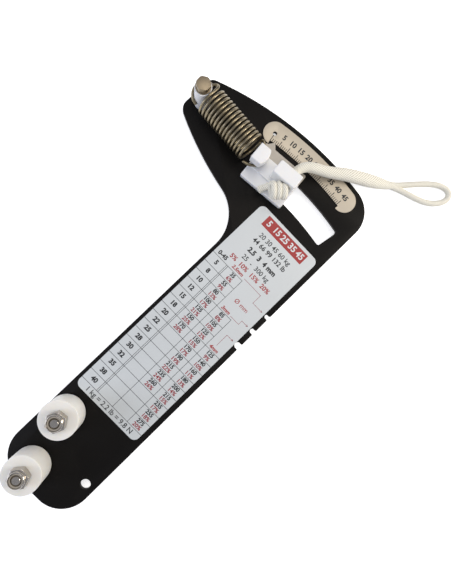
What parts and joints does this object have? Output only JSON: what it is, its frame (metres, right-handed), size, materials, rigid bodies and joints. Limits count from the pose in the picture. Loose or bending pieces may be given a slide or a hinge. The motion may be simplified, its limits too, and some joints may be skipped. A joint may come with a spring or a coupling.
{
  "type": "rigging_tension_gauge",
  "caption": "Hand-held rigging tension gauge: hooked flat plate with cable rollers, sprung slider with pointer in an arc slot, scale, chart label, edge notches and looped lanyard",
  "frame": {"origin": "On the hang hole's axis, at the plate's back face", "axes": "+Y runs along the handle from the hang hole towards the scale, +Z out of the plate's front face, +X towards the notched edge"},
  "size_m": [0.1729, 0.3367, 0.0356],
  "materials": {
    "black_plate": "satin black anodised or painted aluminium sheet",
    "label_film": "printed white self-adhesive film",
    "scale_aluminium": "printed satin sheet",
    "plated_steel": "zinc or stainless fasteners",
    "bright_steel": "bright stainless fasteners",
    "bush_bronze": "turned plain bearing",
    "roller_plastic": "turned white acetal",
    "white_plastic": "moulded white acetal",
    "nut_nylon": "dark nylon ring",
    "spring_steel": "drawn stainless spring wire",
    "cord_braid": "braided off-white cord"
  },
  "bodies": {
    "frame": {"frame_plate": "black_plate", "chart_label": "label_film", "scale_plate": "scale_aluminium", "spring_post": "plated_steel", "post_washer": "plated_steel", "post_sleeve": "white_plastic", "post_nut": "plated_steel", "upper_roller_bolt": "plated_steel", "lower_roller_bolt": "plated_steel", "upper_base_washer": "plated_steel", "lower_base_washer": "plated_steel", "upper_roller_bush": "bush_bronze", "lower_roller_bush": "bush_bronze", "upper_lock_nut": "bright_steel", "lower_lock_nut": "bright_steel", "upper_nut_insert": "nut_nylon", "lower_nut_insert": "nut_nylon", "tension_spring": "spring_steel"},
    "slider": {"slider_block": "white_plastic", "slider_back_plate": "white_plastic", "slider_screws": "bright_steel", "lanyard_cord": "cord_braid", "lanyard_knot": "cord_braid", "lanyard_tail": "cord_braid"},
    "hook": {"spring_hook": "spring_steel"},
    "roller_upper": {"upper_roller": "roller_plastic"},
    "roller_lower": {"lower_roller": "roller_plastic"}
  },
  "joints": [
    {"name": "slider_travel", "type": "hinge", "parent": "frame", "child": "slider", "pos_m": [-0.0358, 0.0231, 0.0032], "axis": [0, 0, -1], "range_deg": [0, 15], "stiffness_Nm_per_rad": 30, "springref_deg": -3.44},
    {"name": "spring_stretch", "type": "slide", "parent": "frame", "child": "hook", "axis": [0.9985, 0.0551, 0], "range_m": [0, 0.05274], "deforming": ["tension_spring"]},
    {"name": "upper_roller_spin", "type": "hinge", "parent": "frame", "child": "roller_upper", "pos_m": [-0.0406, 0.0231, 0.0139], "axis": [0, 0, 1], "continuous": true},
    {"name": "lower_roller_spin", "type": "hinge", "parent": "frame", "child": "roller_lower", "pos_m": [-0.0323, -0.0136, 0.0139], "axis": [0, 0, 1], "continuous": true}
  ],
  "couplings": [
    {"joint": "spring_stretch", "follows": "slider_travel", "m_per_rad": 0.20143}
  ]
}
